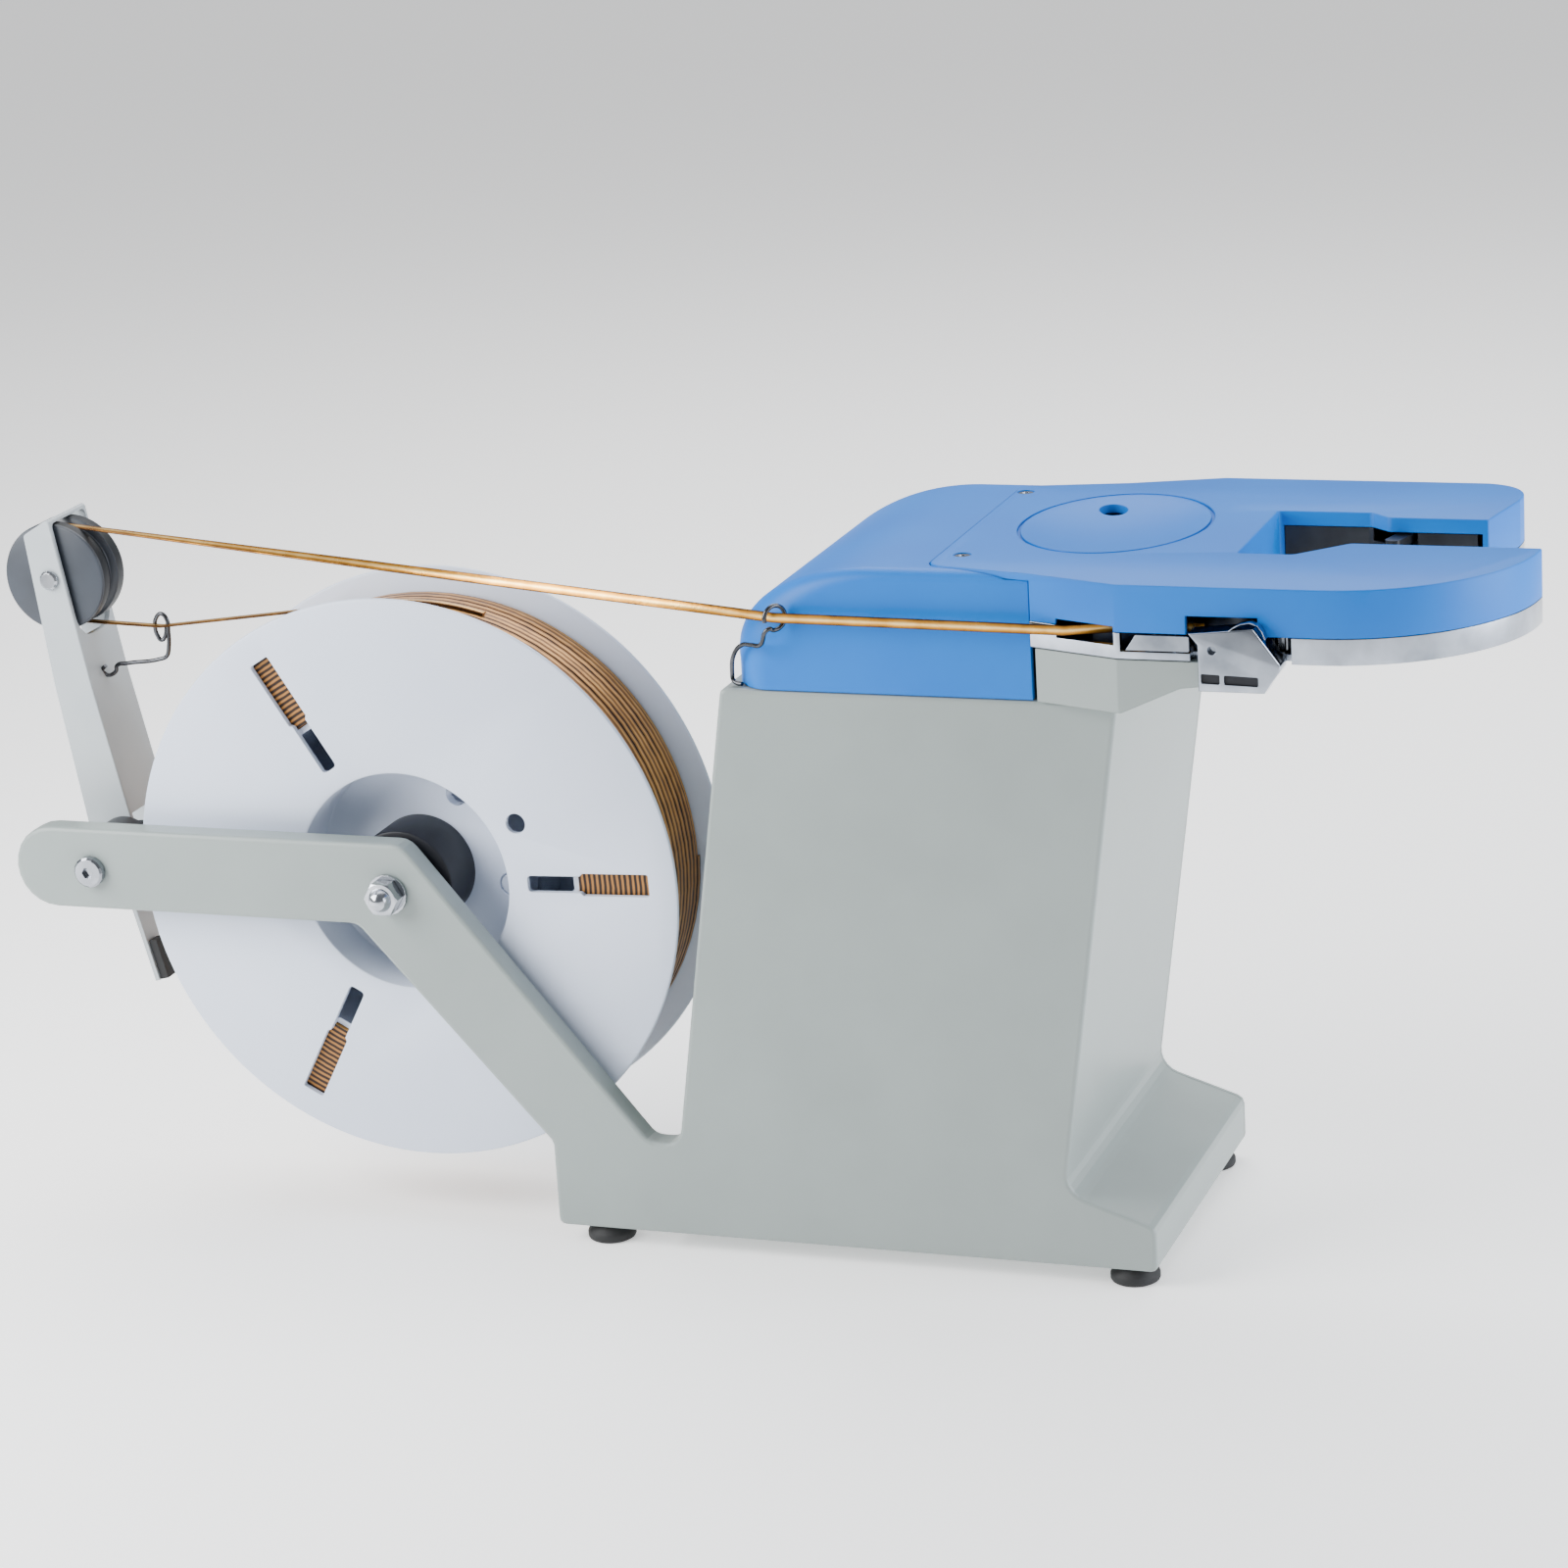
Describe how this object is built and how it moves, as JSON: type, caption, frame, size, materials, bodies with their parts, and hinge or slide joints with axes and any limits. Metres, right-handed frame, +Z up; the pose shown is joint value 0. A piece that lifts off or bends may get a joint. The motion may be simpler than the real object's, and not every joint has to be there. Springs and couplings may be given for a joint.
{
  "type": "twist tie machine",
  "caption": "Bench machine that feeds tie strand from a braked side reel over a tension lever to a forked head, where a needle and a twister hook close a bag's neck.",
  "frame": {"origin": "centre of the bounding box's underside, on the surface that the four feet stand on", "axes": "+X from the reel towards the open end of the fork, +Y from the side with the reel's arm towards the far side, +Z up"},
  "size_m": [0.6457, 0.1774, 0.2911],
  "materials": {
    "stand_grey": "light grey paint, satin",
    "cover_blue": "sky blue paint, satin",
    "polished_steel": "bright, finely brushed",
    "bright_metal": "zinc plated or turned bright",
    "block_aluminium": "machined",
    "brass": "machined",
    "graphite": "matt",
    "dark_plastic": "fine moulded",
    "motor_black": "satin",
    "pulley_slate": "turned, matt",
    "reel_white": "moulded, slightly glossy",
    "black_rubber": "matt",
    "board_green": "coated",
    "tie_gold": "metallic film over a wire core",
    "tie_winding": "wound metallic film strip"
  },
  "bodies": {
    "machine": {"body_casting": "stand_grey", "side_cover": "stand_grey", "foot_rear_near": "black_rubber", "foot_front_near": "black_rubber", "foot_rear_far": "black_rubber", "foot_front_far": "black_rubber", "head_chin": "stand_grey", "base_plate": "polished_steel", "rear_cover": "cover_blue", "front_cover": "cover_blue", "slot_liner": "graphite", "feed_clamp": "polished_steel", "rear_wire_guide": "bright_metal", "reel_shaft": "bright_metal", "shaft_washer": "bright_metal", "shaft_nut": "bright_metal", "lever_pivot_bolt": "bright_metal", "lever_bush": "dark_plastic", "lever_spring": "bright_metal", "motor": "motor_black", "motor_bracket": "bright_metal", "circuit_board": "board_green", "power_inlet": "dark_plastic", "switch_housing": "dark_plastic", "rear_bearing_block": "block_aluminium", "front_bearing_block": "block_aluminium", "twister_bearing": "block_aluminium", "drive_belt": "black_rubber", "cover_screw_near": "bright_metal", "cover_screw_far": "bright_metal", "tie_strand": "tie_gold"},
    "reel": {"reel_near_half": "reel_white", "reel_far_half": "reel_white", "tie_winding_core": "tie_winding", "tie_winding": "tie_winding", "reel_hub": "dark_plastic", "reel_lock_knob": "dark_plastic"},
    "tension_arm": {"tension_lever": "stand_grey", "lever_wire_guide": "bright_metal", "pulley_axle": "bright_metal", "brake_pad": "black_rubber"},
    "guide_pulley": {"lever_pulley": "pulley_slate"},
    "motor_rotor": {"motor_shaft": "bright_metal", "motor_pulley": "bright_metal"},
    "main_drive": {"main_shaft": "bright_metal", "main_pulley": "bright_metal", "drive_gear": "bright_metal", "cam_pinion": "brass"},
    "cam_drive": {"cam_shaft": "bright_metal", "cam_gear": "bright_metal", "needle_cam": "bright_metal"},
    "twister": {"twister_shaft": "bright_metal", "twister_pinion": "brass", "twister_hook": "bright_metal"},
    "needle": {"needle_arm": "bright_metal"},
    "rack": {"needle_rack": "bright_metal"},
    "near_roller": {"feed_roller_near": "bright_metal"},
    "far_roller": {"feed_roller_far": "bright_metal"},
    "trigger": {"bag_trigger": "graphite"},
    "rocker": {"switch_rocker": "dark_plastic"}
  },
  "joints": [
    {"name": "reel_spin", "type": "hinge", "parent": "machine", "child": "reel", "pos_m": [-0.1394, -0.0262, 0.1474], "axis": [0, 1, 0], "continuous": true},
    {"name": "lever_swing", "type": "hinge", "parent": "machine", "child": "tension_arm", "pos_m": [-0.2751, -0.0353, 0.1503], "axis": [0, 1, 0], "range_deg": [-16, 15], "stiffness_Nm_per_rad": 0.6, "springref_deg": 2.35, "deforming": ["lever_spring", "tie_strand"]},
    {"name": "lever_pulley_spin", "type": "hinge", "parent": "tension_arm", "child": "guide_pulley", "pos_m": [-0.2999, -0.02195, 0.2657], "axis": [0, 1, 0], "continuous": true},
    {"name": "main_spin", "type": "hinge", "parent": "machine", "child": "main_drive", "pos_m": [0.0346, 0.0025, 0.256], "axis": [1, 0, 0], "continuous": true},
    {"name": "motor_spin", "type": "hinge", "parent": "machine", "child": "motor_rotor", "pos_m": [0.0341, 0.0025, 0.195], "axis": [1, 0, 0], "continuous": true},
    {"name": "twister_spin", "type": "hinge", "parent": "machine", "child": "twister", "pos_m": [0.1136, 0.0025, 0.276], "axis": [1, 0, 0], "continuous": true},
    {"name": "cam_spin", "type": "hinge", "parent": "machine", "child": "cam_drive", "pos_m": [0.0626, -0.022, 0.2648], "axis": [1, 0, 0], "continuous": true},
    {"name": "needle_swing", "type": "hinge", "parent": "machine", "child": "needle", "pos_m": [0.2356, -0.0625, 0.275], "axis": [0, 0, 1], "range_deg": [0, 72]},
    {"name": "needle_rack_slide", "type": "slide", "parent": "machine", "child": "rack", "axis": [1, 0, 0], "range_m": [-0.0151, 0]},
    {"name": "feed_roller_near_spin", "type": "hinge", "parent": "machine", "child": "near_roller", "pos_m": [0.1926, -0.0741, 0.2648], "axis": [0, 0, 1], "continuous": true},
    {"name": "feed_roller_far_spin", "type": "hinge", "parent": "machine", "child": "far_roller", "pos_m": [0.1926, -0.0597, 0.2648], "axis": [0, 0, 1], "continuous": true},
    {"name": "bag_trigger_swing", "type": "hinge", "parent": "machine", "child": "trigger", "pos_m": [0.2666, 0.0495, 0.28], "axis": [0, 0, 1], "range_deg": [-20, 0], "stiffness_Nm_per_rad": 0.05, "springref_deg": 5.73},
    {"name": "switch_rocker_tilt", "type": "hinge", "parent": "machine", "child": "rocker", "pos_m": [0.1056, 0.0755, 0.04], "axis": [0, 0, 1], "range_deg": [0, 22]}
  ],
  "couplings": [
    {"joint": "motor_spin", "follows": "main_spin", "ratio": 1.8602},
    {"joint": "twister_spin", "follows": "main_spin", "ratio": -1.8571},
    {"joint": "cam_spin", "follows": "main_spin", "ratio": -0.3},
    {"joint": "needle_rack_slide", "follows": "needle_swing", "m_per_rad": -0.012},
    {"joint": "feed_roller_far_spin", "follows": "feed_roller_near_spin", "ratio": -1}
  ]
}
